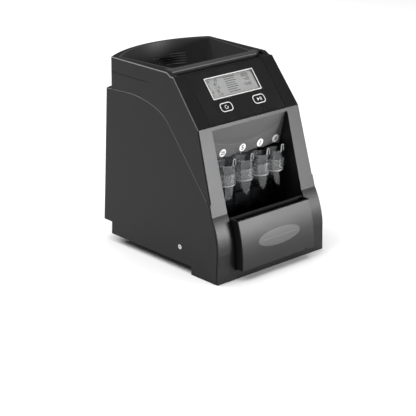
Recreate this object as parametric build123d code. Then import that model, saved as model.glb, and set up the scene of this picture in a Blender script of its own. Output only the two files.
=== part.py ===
from math import asin, cos, degrees, pi, radians, sin
import os

from build123d import *

# overall size, mm (x across, y front to back, z up)
half_width = 90.0
depth_front = -120.0
depth_back = 120.0
height = 240.0
wall = 2.4
side_rounding = 1.4
corner_rounding = 3.5
seam_rounding = 0.9

# how much each side leans in per mm of height
lower_draft = 0.0345
upper_base = 88.4
upper_draft = 0.0265

# rear arcs in plan; the lower one changes with height: (z, radius, furthest y)
upper_rear_radius = 150.6
lower_rear_foot = (26.0, 380.0, 120.0)
lower_rear_head = (199.0, 290.0, 118.2)

# front opening and panel
opening = 62.7
panel_low = (-66.2, 181.1)
panel_high = (-20.7, 236.2)
chin_top = (-64.4, 176.9)
chin_foot = (-54.4, 133.6)

# coin tubes: name, x, inner radius
tube_y = -62.0
tubes = [
    ("quarter", -37.5, 12.5),
    ("nickel", -6.5, 11.0),
    ("penny", 22.0, 9.95),
    ("dime", 47.2, 9.35),
]
label_places = [-35.2, -2.4, 27.2, 53.8]
tube_foot = 19.8
tube_rim = 130.6
tube_skin = 0.95

# feed drive
disc_y = 56.0
disc_radius = 38.0
disc_low = 184.0
pocket_radius = 12.6
pocket_pitch = 23.6
gear_module = 1.0
gear_teeth = 48
pinion_teeth = 16

os.makedirs("parts", exist_ok=True)


def box(x0, x1, y0, y1, z0, z1):
    return Pos((x0 + x1) / 2, (y0 + y1) / 2, (z0 + z1) / 2) * Box(x1 - x0, y1 - y0, z1 - z0)


def rod(radius, x, y, z0, z1):
    return Pos(x, y, (z0 + z1) / 2) * Cylinder(radius, z1 - z0)


def rod_x(radius, x0, x1, y, z):
    return Pos((x0 + x1) / 2, y, z) * Rot(0, 90, 0) * Cylinder(radius, x1 - x0)


def rod_y(radius, x, y0, y1, z):
    return Pos(x, (y0 + y1) / 2, z) * Rot(90, 0, 0) * Cylinder(radius, y1 - y0)


def side_slab(points, x0, x1):
    """Prism of a (y, z) outline between two x values."""
    face = Plane.YZ * Polygon(*points, align=None)
    return Pos(x0, 0, 0) * extrude(face, x1 - x0, dir=(1, 0, 0))


def save(part, name):
    part = part.clean() if hasattr(part, "clean") else part
    export_step(part, f"parts/{name}.step")
    size = part.bounding_box().size
    print(f"{name}: {len(part.solids())} solid, {size.X:.1f} x {size.Y:.1f} x {size.Z:.1f}")


# ---------------------------------------------------------------- shared outlines
def outline(inset):
    """Front, panel and top line of the housing in (y, z), moved in by inset."""
    base = Line((-107.0, -40.0), (-107.8, 36.0))
    curve = ThreePointArc((-107.8, 36.0), (-103.8, 59.5), (-94.5, 81.0))
    front = Polyline((-94.5, 81.0), panel_low, panel_high)
    top = Polyline(panel_high, (-15.5, 236.2), (-8.7, height), (170.0, height))
    back = Polyline((170.0, height), (170.0, -40.0), (-107.0, -40.0))
    face = Plane.YZ * make_face([base, *curve.edges(), *front.edges(), *top.edges(), *back.edges()])
    if inset:
        face = offset(face, -inset, kind=Kind.INTERSECTION)
    return face


def lean_block(inset, base_half, draft):
    """Wedge between the two leaning sides."""
    low = base_half + 40 * draft - inset
    top = base_half - 260 * draft - inset
    face = Plane.XZ * Polygon((-low, -40), (low, -40), (top, 260), (-top, 260), align=None)
    return extrude(face, 300, both=True)


def upper_rear(inset):
    """Round block whose back is the rear wall of the upper housing."""
    return rod(upper_rear_radius - inset, 0, depth_back - upper_rear_radius, -40, 260)


def lower_rear_arc(z):
    """Radius and furthest y of the rear wall of the lower housing at a height."""
    share = (z - lower_rear_foot[0]) / (lower_rear_head[0] - lower_rear_foot[0])
    radius = lower_rear_foot[1] + (lower_rear_head[1] - lower_rear_foot[1]) * share
    far = lower_rear_foot[2] + (lower_rear_head[2] - lower_rear_foot[2]) * share
    return (radius, far)


def lower_rear(inset):
    """Block whose back is the rear wall of the lower housing, flatter at the foot."""
    sections = []
    for z in (-40, 260):
        radius, far = lower_rear_arc(z)
        radius -= inset
        far -= inset
        side = far - radius + (radius * radius - 130 * 130) ** 0.5
        arc = ThreePointArc((-130, side), (0, far), (130, side))
        rest = Polyline((130, side), (130, -200), (-130, -200), (-130, side))
        sections.append(Pos(0, 0, z) * make_face([*arc.edges(), *rest.edges()]))
    return loft(sections, ruled=True)


def shell_block(inset, base_half, draft, rear):
    """Solid bounded by the side outline, the leaning sides and a rear block."""
    side = extrude(outline(inset), 130, both=True)
    block = side & lean_block(inset, base_half, draft) & rear
    if inset:
        return block
    corners = [edge for edge in block.edges() if abs(edge.center().X) > 60 and edge.bounding_box().min.Y > 80]
    block = fillet(corners, corner_rounding)
    edges = [edge for edge in block.edges() if abs(edge.center().X) > 60 and edge.center().Z > -30]
    edges = [edge for edge in edges if edge.bounding_box().min.Y < 80]
    edges += [edge for edge in block.edges() if edge.bounding_box().min.Z > 239.9 and edge.center().Y > 90]
    return fillet(edges, side_rounding)


def seam_region(gap):
    """Everything on the rear housing's side of the S seam, pulled back by gap."""
    flat = ThreePointArc((72.0, 200.8 - gap), (40.6, 200.2 - gap), (16.3, 195.0 - gap))
    bend = ThreePointArc((16.3, 195.0 - gap), (-2.5, 187.2 - gap), (-18.2, 172.8 - gap))
    run = Polyline((-18.2, 172.8 - gap), (-84.0 + gap, 98.8 - gap))
    foot = Spline((-84.0 + gap, 98.8 - gap), (-90.4 + gap, 86.6), (-95.3 + gap, 74.6), (-100.8 + gap, 61.0),
                  (-104.4 + gap, 44.0))
    drop = Polyline((-104.4 + gap, 44.0), (-104.4 + gap, -60.0), (180.0, -60.0), (180.0, 199.0 - gap))
    back = Polyline((180.0, 199.0 - gap), (106.0, 199.0 - gap), (72.0, 200.8 - gap))
    edges = [*flat.edges(), *bend.edges(), *run.edges(), *foot.edges(), *drop.edges(), *back.edges()]
    return extrude(Plane.YZ * make_face(edges), 130, both=True)


def on_seam(edge):
    """True for an edge where the S seam meets the outer side of the lower housing."""
    middle = edge.center()
    if edge.length < 3 or middle.Y > 104 or middle.Z < 36:
        return False
    for share in (0.1, 0.5, 0.9):
        point = edge @ share
        if abs(abs(point.X) - (half_width - point.Z * lower_draft)) > 0.12:
            return False
    return True


def panel_point(along, depth):
    """(y, z) of a point on the panel slope, depth mm below its surface."""
    run = panel_high[0] - panel_low[0]
    rise = panel_high[1] - panel_low[1]
    length = (run * run + rise * rise) ** 0.5
    y = panel_low[0] + run / length * along + rise / length * depth
    z = panel_low[1] + rise / length * along - run / length * depth
    return (y, z)


def panel_slab(x0, x1, s0, s1, d0, d1):
    """Box laid on the panel slope: x range, range along the slope, depth range."""
    corners = [panel_point(s0, d0), panel_point(s1, d0), panel_point(s1, d1), panel_point(s0, d1)]
    return side_slab(corners, x0, x1)


def panel_prism(sketch, along, d0, d1):
    """Extrude a sketch centred on the slope between two depths."""
    y, z = panel_point(along, d1)
    run = panel_high[0] - panel_low[0]
    rise = panel_high[1] - panel_low[1]
    plane = Plane(origin=(0, y, z), x_dir=(1, 0, 0), z_dir=(0, -rise, run))
    return extrude(plane * sketch, d1 - d0)


def rear_place(x, z):
    """Placement on the rear wall with local +Y pointing out of it."""
    radius, far = lower_rear_arc(z)
    y = far - radius + (radius * radius - x * x) ** 0.5
    return Pos(x, y, z) * Rot(0, 0, -degrees(asin(x / radius)))


# ---------------------------------------------------------------- housings
def make_rear_housing():
    outer = shell_block(0, half_width, lower_draft, lower_rear(0))
    inner = shell_block(wall, half_width, lower_draft, lower_rear(wall))
    block = outer & seam_region(0.0)
    block = fillet([edge for edge in block.edges() if on_seam(edge)], seam_rounding)
    shell = block - inner
    cut = box(-120, 120, -200, 200, -60, 0.5)
    cut += box(-120, 120, -60.3, 200, -60, 10.6)
    cut += box(-120, 120, 91.9, 200, -60, 26.4)
    shell -= cut
    shell -= lean_block(wall, half_width, lower_draft) & box(-120, 120, -200, 0, 0, 260)
    ledge = box(-120, 120, 89.5, 200, 26.4, 28.8) + box(-120, 120, 89.5, 91.9, 10.6, 28.8)
    shell += ledge & outer
    # shelf that closes the step under the upper shell
    shelf = box(-120, 120, 60, 200, 196.4, 198.8) - rod(upper_rear_radius - wall - 1.0, 0,
                                                       depth_back - upper_rear_radius, 190, 205)
    shelf &= outer
    shell += shelf & lean_block(0.2, half_width, lower_draft)
    web = box(-120, 120, -62.7, -60.3, 0.5, 10.6) & outer
    shell += web - box(-84, 84, -70, -50, -1, 11)
    for x in (-1, 1):
        shell -= rod_x(3.1, min(70 * x, 110 * x), max(70 * x, 110 * x), -38.5, 29.7)
    # rear face: inlet, switch and vents
    shell -= rear_place(-50, 46) * rod_y(4.1, 0, -15, 8, 0)
    shell -= rear_place(50, 46) * box(-6.7, 6.7, -15, 8, -6.1, 6.1)
    for row in range(6):
        z = 80 + 9 * row
        shell -= box(-32, 32, 100, 130, z, z + 3)
    return shell


def make_upper_housing():
    outer = shell_block(0, upper_base, upper_draft, upper_rear(0))
    inner = shell_block(wall, upper_base, upper_draft, upper_rear(wall))
    shell = (outer - inner) - seam_region(-0.35)
    front = extrude(outline(0), 130, both=True) - extrude(outline(wall), 130, both=True)
    front &= box(-120, 120, -130, -88, 0.5, 96)
    front &= lean_block(0.4, half_width, lower_draft)
    shell += front - seam_region(-0.35)
    shell -= box(-120, 120, -200, 200, -60, 0.5)
    # front opening for tubes and drawer
    shell -= box(-opening, opening, -130, -56, 12.6, 177.2)
    # inner faces of the two pillars
    returns = box(-opening - 2.2, opening + 2.2, -118, -46, 15.2, 181) - box(-opening, opening, -130, 0, 0, 300)
    shell += returns & inner
    sill = box(-opening - 2.2, opening + 2.2, -106, -101, 4, 12.6) & inner
    shell += sill
    # hopper opening with its front channel
    shell -= hopper_plug(0.3, 226, 260)
    shell -= box(-74.3, 74.3, -18.9, 5, 228, 260)
    # overlay recess, screen and button holes
    shell -= panel_slab(-opening, opening, 2.0, 71.0, -1, 0.9)
    shell -= panel_slab(-39.0, 39.0, 33, 60, -1, 8)
    for x in (-27, 27):
        shell -= panel_prism(Pos(x, 0) * RectangleRounded(20.6, 13.0, 5.2), 19.9, -1, 8)
    # long groove on both flanks
    for x in (-1, 1):
        face = upper_base - 221.5 * upper_draft
        shell -= box(min(x * (face - 0.5), x * 100), max(x * (face - 0.5), x * 100), 24, 98.5, 221.2, 222.0)
    return shell


def hopper_plan(grow):
    """Mouth of the hopper seen from above."""
    left = Line((-66.5 - grow, -1.5 - grow), (-76.3 - grow, 88.0 + grow * 0.5))
    back = ThreePointArc((-76.3 - grow, 88.0 + grow * 0.5), (0, 115.6 + grow), (76.3 + grow, 88.0 + grow * 0.5))
    right = Line((76.3 + grow, 88.0 + grow * 0.5), (66.5 + grow, -1.5 - grow))
    front = Line((66.5 + grow, -1.5 - grow), (-66.5 - grow, -1.5 - grow))
    face = make_face([left, back, right, front])
    return fillet(face.vertices(), 5.0)


def hopper_plug(grow, z0, z1):
    return Pos(0, 0, z0) * extrude(hopper_plan(grow), z1 - z0)


def make_hopper():
    """Deep mouth that narrows to the round well of the feed disc."""
    bowl = loft([Pos(0, 0, 188) * hopper_plan(-22.5), Pos(0, 0, 201) * hopper_plan(-4.3)])
    bowl += loft([Pos(0, 0, 201) * hopper_plan(-4.3), Pos(0, 0, height) * hopper_plan(0.0)])
    bowl += rod(disc_radius + 3.2, 0, disc_y, disc_low - 4, 197)
    hollow = loft([Pos(0, 0, 191) * hopper_plan(-26.0), Pos(0, 0, 203) * hopper_plan(-6.5)])
    hollow += loft([Pos(0, 0, 203) * hopper_plan(-6.5), Pos(0, 0, height + 2) * hopper_plan(-2.1)])
    hollow += rod(disc_radius + 0.8, 0, disc_y, disc_low - 10, 205)
    # rounded front lip and the channel between it and the panel
    lip = box(-73.9, 73.9, -5.6, 1.2, 229.0, 236.6) + rod_x(3.4, -73.9, 73.9, -2.2, 236.6)
    bowl += lip
    bowl += box(-74.0, 74.0, -18.6, -1.2, 229.0, 231.0)
    for x in (-1, 1):
        bowl += box(min(x * 72.6, x * 74), max(x * 72.6, x * 74), -18.6, 3.0, 229.0, 236.0)
        bowl += box(min(x * 62, x * 73.9), max(x * 62, x * 73.9), -2.2, 4.7, 229.0, height)
    return bowl - hollow


def chin_y(z):
    """Front face of the sloping wall at a height."""
    return chin_top[0] + (chin_foot[0] - chin_top[0]) * (z - chin_top[1]) / (chin_foot[1] - chin_top[1])


def make_front_hood():
    """Sloping back wall of the tube recess with low arches over the tubes."""
    back = 2.2
    low = chin_foot[1]
    points = [chin_top, (chin_top[0] + back, chin_top[1]), (chin_foot[0] + back, low), chin_foot]
    plate = side_slab(points, -opening + 0.3, opening - 0.3)
    roof = side_slab([(chin_y(146.6) + 1, 146.6), (-36, 146.6), (-36, 148.4), (chin_y(148.4) + 1, 148.4)],
                     -opening + 0.3, opening - 0.3)
    plate += roof
    edges = [-61.6]
    for first, second in zip(tubes, tubes[1:]):
        edges.append((first[1] + first[2] + second[1] - second[2]) / 2)
    edges.append(61.6)
    for x in edges:
        points = [(chin_y(low) + 1, low), (-40, low + 2), (-40, 147), (chin_y(147) + 1, 147)]
        plate += side_slab(points, x - 0.7, x + 0.7)
    for first, second in zip(edges, edges[1:]):
        half = (second - first) / 2 - 0.7
        rise = 2.4
        arc_radius = (half * half + rise * rise) / (2 * rise)
        plate -= rod_y(arc_radius, (first + second) / 2, -60, -51.0, low + rise - arc_radius)
    return plate


def make_recess_back():
    return box(-62.3, 62.3, -35.7, -33.7, 30.0, 131.4)


def make_base_plate():
    plate = box(-85.2, 85.2, -58.0, 88.6, 12.2, 15.0)
    plate += box(-85.2, 85.2, -96.6, -58.0, 12.2, 15.0)
    for x in (-58, 58):
        for y in (-84, 78):
            plate += rod(9.0, x, y, 3.5, 12.4)
            plate -= rod(6.2, x, y, 0, 7.6)
    for x in (-1, 1):
        tab = box(min(x * 79, x * 81.4), max(x * 79, x * 81.4), -46, -31, 14.8, 38)
        plate += tab
    for x in (-60, 60):
        for y in (20, 70):
            plate += rod(4.0, x, y, 14.8, 24.0)
    return plate


def make_drawer_guides():
    guides = None
    for x in (-1, 1):
        rail = box(min(x * 56.4, x * 62.2), max(x * 56.4, x * 62.2), -95, -6, 15.1, 16.6)
        rail += box(min(x * 60.8, x * 62.2), max(x * 60.8, x * 62.2), -95, -6, 15.1, 25.0)
        rail += box(min(x * 59.3, x * 62.2), max(x * 59.3, x * 62.2), -95, -6, 23.2, 25.0)
        guides = rail if guides is None else guides + rail
    return guides


# ---------------------------------------------------------------- drawer
drawer_bottom = 14.0
drawer_top = 74.6


def drawer_front_line(inset):
    arc = ThreePointArc((-110.2 + inset, drawer_top), (-118.1 + inset, 44.0), (depth_front + inset, drawer_bottom))
    return arc


def make_drawer_front():
    """Curved front plate."""
    ends = Line((-110.2, drawer_top), (-107.8, drawer_top)), Line((depth_front, drawer_bottom),
                                                                (depth_front + 2.4, drawer_bottom))
    face = make_face([*drawer_front_line(0).edges(), *drawer_front_line(2.4).edges(), *ends])
    part = extrude(Plane.YZ * face, 60.7, both=True)
    edges = [edge for edge in part.edges() if edge.length > 10 and edge.center().Y < -117.8]
    edges += [edge for edge in part.edges() if edge.length > 10 and edge.center().Z > 74 and edge.center().Y < -109]
    part = fillet(edges, 0.8)
    # small notch low at the right
    part -= rod_y(2.2, 46.0, -130, -110, drawer_bottom)
    return part


def make_drawer_cheeks():
    """Sides and floor between the front plate and the tray."""
    rest = Polyline((depth_front + 2.4, drawer_bottom), (-97.3, drawer_bottom), (-97.3, drawer_top), (-107.8, drawer_top))
    outer = extrude(Plane.YZ * make_face([*drawer_front_line(2.4).edges(), *rest.edges()]), 60.7, both=True)
    hollow = box(-58.7, 58.7, -130, -97.3, drawer_bottom + 2.2, 90)
    part = outer - hollow
    part -= rod_y(2.2, 46.0, -130, -110, drawer_bottom)
    return part


def badge_slab(grow, inset_a, inset_b):
    oval = Plane.XZ * (Pos(2.0, 44.0) * Ellipse(35.0 + grow, 10.4 + grow))
    prism = Pos(0, -140, 0) * extrude(oval, -60)
    arc_a = drawer_front_line(inset_a)
    arc_b = drawer_front_line(inset_b)
    first = Line((-110.2 + inset_a, drawer_top), (-110.2 + inset_b, drawer_top))
    second = Line((depth_front + inset_a, drawer_bottom), (depth_front + inset_b, drawer_bottom))
    face = make_face([*arc_a.edges(), *arc_b.edges(), first, second])
    return prism & extrude(Plane.YZ * face, 60, both=True)


def make_tube_tray():
    """Tray with round sockets, front wall, side walls, rear rests and runners."""
    tray = box(-58.9, 58.9, -97.3, -44.0, 17.2, 19.4)
    tray += box(-60.7, 60.7, -97.3, -95.6, 17.2, 75.5)
    for x in (-1, 1):
        tray += box(min(x * 58.9, x * 57.9), max(x * 58.9, x * 57.9), -97.3, -44.0, 17.2, 40.0)
        tray += box(min(x * 60.4, x * 56.4), max(x * 60.4, x * 56.4), -97.3, -8.0, 17.2, 22.8)
    tray += box(-58.9, 58.9, -46.0, -44.0, 17.2, 80.0)
    for name, x, radius in tubes:
        foot = radius + tube_skin - 0.5
        tray += rod(foot + 2.6, x, tube_y, 17.2, 25.0) & box(-58.9, 58.9, -100, -44, 0, 100)
    for name, x, radius in tubes:
        foot = radius + tube_skin - 0.5
        tray -= rod(foot + 1.0, x, tube_y, 19.4, 30.0)
        tray += box(x - radius - 3, x + radius + 3, -56.0, -44.0, 62.0, 66.0) & box(-58.9, 58.9, -60, -44, 0, 100)
    for name, x, radius in tubes:
        tray -= rod(radius + tube_skin + 0.6, x, tube_y, 60.0, 70.0)
    tray += make_drawer_cheeks()
    return tray


def make_tube(x, radius):
    """Clear coin tube: drafted body, two-step collar, finger loop at the front of the rim."""
    low = radius + tube_skin - 0.5
    body = radius + tube_skin
    mid = body + 0.6
    top = body + 1.1
    step_a = 105.5
    step_b = 118.6
    s = tube_skin
    outer = [(0, tube_foot), (6.0, tube_foot), (low, tube_foot + 1.3), (body, step_a - 1.0), (mid, step_a),
             (mid, step_b), (top, step_b + 0.8), (top + 0.15, tube_rim), (0, tube_rim)]
    inner = [(0, tube_foot + 1.4), (6.0, tube_foot + 1.4), (low - s, tube_foot + 2.6), (body - s, step_a),
             (mid - s, step_a + 1.2), (mid - s, step_b + 0.9), (top - s, step_b + 2.0),
             (top + 0.15 - s, tube_rim + 1), (0, tube_rim + 1)]
    shape = revolve(Plane.XZ * Polygon(*outer, align=None), Axis.Z)
    shape -= revolve(Plane.XZ * Polygon(*inner, align=None), Axis.Z)
    # finger loop: pointed arch that follows the round wall
    ring = rod(top + 0.6, 0, 0, 106.0, 142.0) - rod(top - 0.3, 0, 0, 100.0, 150.0)
    arch = Polygon((-6.0, 109.5), (-2.4, 137.6), (-1.2, 139.0), (1.2, 139.0), (2.4, 137.6), (6.0, 109.5), align=None)
    gap = Polygon((-5.1, 109.4), (-1.6, 137.2), (-0.8, 138.1), (0.8, 138.1), (1.6, 137.2), (5.1, 109.4), align=None)
    loop = ring & extrude(Plane.XZ * (arch - gap), 30, dir=(0, -1, 0))
    shape += Rot(0, 0, 12) * loop
    return Pos(x, tube_y, 0) * shape


# ---------------------------------------------------------------- panel parts
def make_panel_overlay():
    sheet = panel_slab(-opening + 0.4, opening - 0.4, 2.4, 70.6, 0.15, 0.9)
    sheet -= panel_slab(-38.4, 38.4, 33.6, 59.4, -2, 3)
    for x in (-27, 27):
        sheet -= panel_prism(Pos(x, 0) * RectangleRounded(20.6, 13.0, 5.2), 19.9, -2, 3)
    return sheet


def make_button(x):
    cap = panel_prism(Pos(x, 0) * RectangleRounded(19.8, 12.2, 4.8), 19.9, -0.75, 2.0)
    stem = panel_prism(Pos(x, 0) * RectangleRounded(17.4, 9.8, 3.9), 19.9, 1.9, 4.4)
    post = panel_prism(Pos(x, 0) * Circle(1.7), 19.9, 4.3, 6.4)
    return cap + stem + post


def make_screen_window():
    return panel_slab(-38.2, 38.2, 33.8, 59.2, 0.2, 1.4)


def make_screen_module():
    body = panel_slab(-41.5, 41.5, 30.5, 62.5, 3.0, 7.0)
    glass = panel_slab(-38.6, 38.6, 33.4, 59.6, 2.0, 3.1)
    return body + glass


def make_display_board():
    board = panel_slab(-56, 56, 8, 66, 9.4, 11.0)
    for x in (-52, 52):
        for along in (12, 62):
            board -= panel_prism(Pos(x, 0) * Circle(1.6), along, 9, 12)
    return board


def make_switches():
    group = None
    for x in (-27, 27):
        body = panel_slab(x - 3, x + 3, 16.9, 22.9, 7.6, 9.4)
        plunger = panel_prism(Pos(x, 0) * Circle(1.5), 19.9, 7.2, 7.7)
        group = body + plunger if group is None else group + body + plunger
    return group


def make_board_spacers():
    group = None
    for x in (-52, 52):
        for along in (12, 62):
            post = panel_prism(Pos(x, 0) * Circle(3.0), along, 2.4, 9.4)
            post += panel_prism(Pos(x, 0) * Circle(1.55), along, 9.3, 11.0)
            post += panel_prism(Pos(x, 0) * Circle(2.8), along, 11.0, 12.6)
            group = post if group is None else group + post
    return group


# ---------------------------------------------------------------- feed and sorting
def gear(teeth, thickness, bore):
    """Spur gear, straight-flanked teeth a little thinner than half the pitch."""
    pitch = gear_module * teeth / 2
    root = pitch - 1.2 * gear_module
    tip = pitch + 0.92 * gear_module
    step = 2 * pi / teeth
    points = []
    for tooth in range(teeth):
        middle = step * tooth
        for radius, half in ((root, 0.30), (pitch, 0.215), (tip, 0.10)):
            points.append((radius * cos(middle - half * step), radius * sin(middle - half * step)))
        for radius, half in ((tip, 0.10), (pitch, 0.215), (root, 0.30)):
            points.append((radius * cos(middle + half * step), radius * sin(middle + half * step)))
    face = Polygon(*points, align=None) - Circle(bore)
    return extrude(face, thickness)


gear_distance = gear_module * (gear_teeth + pinion_teeth) / 2
gear_low = 158.0
pinion_y = disc_y - gear_distance


def make_feed_disc():
    disc = rod(disc_radius, 0, disc_y, disc_low, disc_low + 3.2)
    for slot in range(5):
        angle = radians(72 * slot + 18)
        x = pocket_pitch * cos(angle)
        y = disc_y + pocket_pitch * sin(angle)
        disc -= rod(pocket_radius, x, y, disc_low - 1, disc_low + 4)
    disc += Pos(0, disc_y, disc_low + 3.2 + 3.0) * Cone(9.0, 4.0, 6.0)
    disc -= rod(3.0, 0, disc_y, disc_low - 1, disc_low + 6)
    return disc


def make_hopper_floor():
    """Wear plate under the disc with the coin exit towards the rail."""
    low = disc_low - 8.6
    plate = rod(46.0, 0, disc_y, low, low + 4.2)
    plate += box(-46, 46, disc_y - 46, disc_y, low, low + 4.2)
    plate += rod(disc_radius + 0.5, 0, disc_y, low + 4.0, disc_low - 0.4)
    plate -= rod(6.5, 0, disc_y, 160, 190)
    plate -= rod(13.4, 19.1, disc_y - 13.9, 160, 190)
    return plate


def make_bush():
    ring = rod(6.45, 0, disc_y, disc_low - 8.6, disc_low - 0.4)
    ring += rod(8.2, 0, disc_y, disc_low - 10.0, disc_low - 8.6)
    ring -= rod(3.04, 0, disc_y, 150, 200)
    return ring


def make_shaft():
    return rod(3.0, 0, disc_y, 152.0, disc_low + 5.8)


def make_transfer():
    """Sloping plate that carries a coin from the exit to the high end of the rail."""
    plane = Plane(origin=(25, 36, 170.5), x_dir=(35, -50, -17), z_dir=(35 * 17, -50 * 17, 35 * 35 + 50 * 50))
    sheet = Pos(13, 0, 0) * Box(62, 29, 1.4)
    for side in (-1, 1):
        sheet += Pos(13, 13.8 * side, 1.6) * Box(62, 1.4, 4.0)
    return (plane.location * sheet) & box(-100, 100, -1.4, 200, 0, disc_low - 9.0)


def make_disc_gear():
    wheel = gear(gear_teeth, 3.6, 3.0)
    wheel = Pos(0, disc_y, gear_low) * wheel
    wheel += rod(6.0, 0, disc_y, 154.5, gear_low) - rod(3.0, 0, disc_y, 150, 165)
    for hole in range(6):
        angle = radians(60 * hole)
        wheel -= rod(4.0, 14 * cos(angle), disc_y + 14 * sin(angle), 150, 170)
    return wheel


def make_pinion():
    wheel = gear(pinion_teeth, 4.6, 2.5)
    turned = Rot(0, 0, 90 + 180 / pinion_teeth) * wheel
    wheel = Pos(0, pinion_y, gear_low - 0.5) * turned
    wheel += rod(4.6, 0, pinion_y, 153.0, gear_low - 0.5) - rod(2.5, 0, pinion_y, 150, 165)
    return wheel


def make_motor_shaft():
    return rod(2.5, 0, pinion_y, 149.2, 161.6)


def make_gearbox():
    body = rod(17.5, 0, pinion_y - 4, 128.0, 148.0)
    body += rod(6.0, 0, pinion_y, 148.0, 150.4)
    body -= rod(2.54, 0, pinion_y, 146.0, 160)
    return body


def make_motor():
    can = rod(15.0, 0, pinion_y - 4, 92.0, 128.0)
    can += rod(5.0, 0, pinion_y - 4, 88.0, 92.0)
    for x in (-8, 8):
        can += box(x - 1.4, x + 1.4, pinion_y - 4.4, pinion_y - 3.6, 85.0, 92.5)
    return can


def make_motor_bracket():
    """Plate over the gearbox, hung from the hopper floor on three posts."""
    plate = box(-32, 19, -1, 40, 150.5, 152.6)
    plate -= rod(6.4, 0, pinion_y, 140, 160)
    for x, y in ((-28, 14), (-28, 36), (14.0, 19.5)):
        plate += rod(3.2, x, y, 150.5, disc_low - 8.6)
    for x in (-11, 11):
        for y in (pinion_y - 13, pinion_y + 5):
            plate -= rod(1.5, x, y, 140, 160)
    return plate


def make_motor_screws():
    group = None
    for x in (-11, 11):
        for y in (pinion_y - 13, pinion_y + 5):
            head = rod(2.8, x, y, 152.65, 154.4) + rod(1.4, x, y, 148.2, 152.7)
            group = head if group is None else group + head
    return group


def rail_height(x):
    return 146.0 + 0.14 * x


def side_rail(x0, x1, y0, y1, low, high):
    """Bar along x that follows the slope of the rail."""
    points = [(x0, rail_height(x0) + low), (x1, rail_height(x1) + low)]
    points += [(x1, rail_height(x1) + high), (x0, rail_height(x0) + high)]
    face = Plane.XZ * Polygon(*points, align=None)
    return Pos(0, y0, 0) * extrude(face, y1 - y0, dir=(0, 1, 0))


def make_sort_rail():
    """Sloping rail with an opening over each chute, smallest coin first."""
    rail = side_rail(-70, 70, -26.0, -2.0, 0.0, 2.0)
    rail += side_rail(-70, 36, -4.0, -2.0, 0.0, 9.0)
    rail += side_rail(-70, 70, -26.0, -24.4, 0.0, 6.0)
    for name, x, radius in tubes:
        rail -= box(x - radius, x + radius, -23.4, -23.4 + 2 * radius * 0.72, 120, 170)
    return rail


def make_chutes():
    """Four sloping channels from the rail forward to the tube mouths."""
    group = None
    for name, x, radius in tubes:
        half = radius + 0.4
        start = (-46.4, 132.0)
        end = (-5.0, rail_height(x - half) - 2.0)
        channel = side_slab([start, end, (end[0], end[1] - 1.4), (start[0] + 0.6, start[1] - 1.4)], x - half, x + half)
        middle = start[1] + (end[1] - start[1]) * 0.47 + 3.6
        for side in (-1, 1):
            edge = x + side * (half - 0.5)
            points = [start, (start[0], start[1] + 3.4), (-27.0, middle), (end[0], end[1] + 1.4), end]
            channel += side_slab(points, edge - 0.5, edge + 0.5)
        group = channel if group is None else group + channel
    return group


def make_sensor_bar():
    bar = side_rail(-56, 56, -26.0, -2.0, 11.0, 12.6) - box(37, 80, -12, 0, 100, 200)
    for name, x, radius in tubes:
        low = x + radius + 1.0
        if low + 3 < 56:
            bar += side_rail(low, low + 3.0, -18, -13, 7.6, 11.2)
    return bar


def make_rail_posts():
    group = None
    for x in (-67.5, 67.5):
        post = box(x - 2.0, x + 2.0, -24.0, -4.0, 15.2, rail_height(x - 2.0) - 0.1)
        foot = box(x - 4.0, x + 4.0, -26.0, -2.0, 15.0, 17.4)
        group = post + foot if group is None else group + post + foot
    return group


# ---------------------------------------------------------------- electronics and small parts
def make_control_board():
    board = box(-66, 66, 12, 76, 24.1, 25.7)
    for x in (-60, 60):
        for y in (20, 70):
            board -= rod(1.6, x, y, 20, 30)
    return board


def make_board_chips():
    group = box(-12, 12, 34, 58, 25.7, 28.1)
    group += box(-48, -30, 20, 32, 25.7, 36.0)
    group += box(26, 44, 20, 30, 25.7, 34.0)
    for x in (26, 40):
        group += rod(5.0, x, 60, 25.7, 41.0)
    return group


def make_board_screws():
    group = None
    for x in (-60, 60):
        for y in (20, 70):
            head = rod(3.0, x, y, 25.7, 27.5) + rod(1.5, x, y, 24.0, 25.8)
            group = head if group is None else group + head
    return group


def make_feet():
    group = None
    for x in (-58, 58):
        for y in (-84, 78):
            foot = rod(6.15, x, y, 0.0, 7.6)
            group = foot if group is None else group + foot
    return group


def make_side_screws():
    group = None
    for x in (-1, 1):
        face = half_width - 29.7 * lower_draft
        shank = rod_x(2.0, min(x * 81.45, x * (face - 1.5)), max(x * 81.45, x * (face - 1.5)), -38.5, 29.7)
        head = rod_x(3.0, min(x * (face - 2.2), x * (face - 0.1)), max(x * (face - 2.2), x * (face - 0.1)), -38.5, 29.7)
        cross = rod_x(1.3, min(x * (face - 1.2), x * (face + 1)), max(x * (face - 1.2), x * (face + 1)), -38.5, 29.7)
        screw = shank + head - cross
        group = screw if group is None else group + screw
    return group


def make_inlet():
    body = rod_y(4.0, 0, -12, -0.3, 0) + rod_y(5.6, 0, -13, -4.6, 0)
    body -= rod_y(2.8, 0, -9.5, 3, 0)
    body += rod_y(1.0, 0, -9.8, -1.2, 0)
    return rear_place(-50, 46) * body


def make_switch_body():
    frame = box(-7.7, 7.7, 0.1, 1.4, -7.3, 7.3) + box(-6.4, 6.4, -12, 0.2, -5.9, 5.9)
    frame -= box(-5.5, 5.5, -7.6, 4, -5.2, 5.2)
    return rear_place(50, 46) * frame


def make_rocker():
    """Two-sided rocker, pressed at its top at rest."""
    points = [(-4.5, -1.6), (0.4, -4.2), (2.0, -4.1), (1.1, 0), (2.0, 4.1), (0.4, 4.2), (-4.5, 1.6)]
    body = side_slab(points, -5.1, 5.1)
    tilted = Pos(0, -2.5, 0) * Rot(8, 0, 0) * Pos(0, 2.5, 0) * body
    return rear_place(50, 46) * tilted


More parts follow.
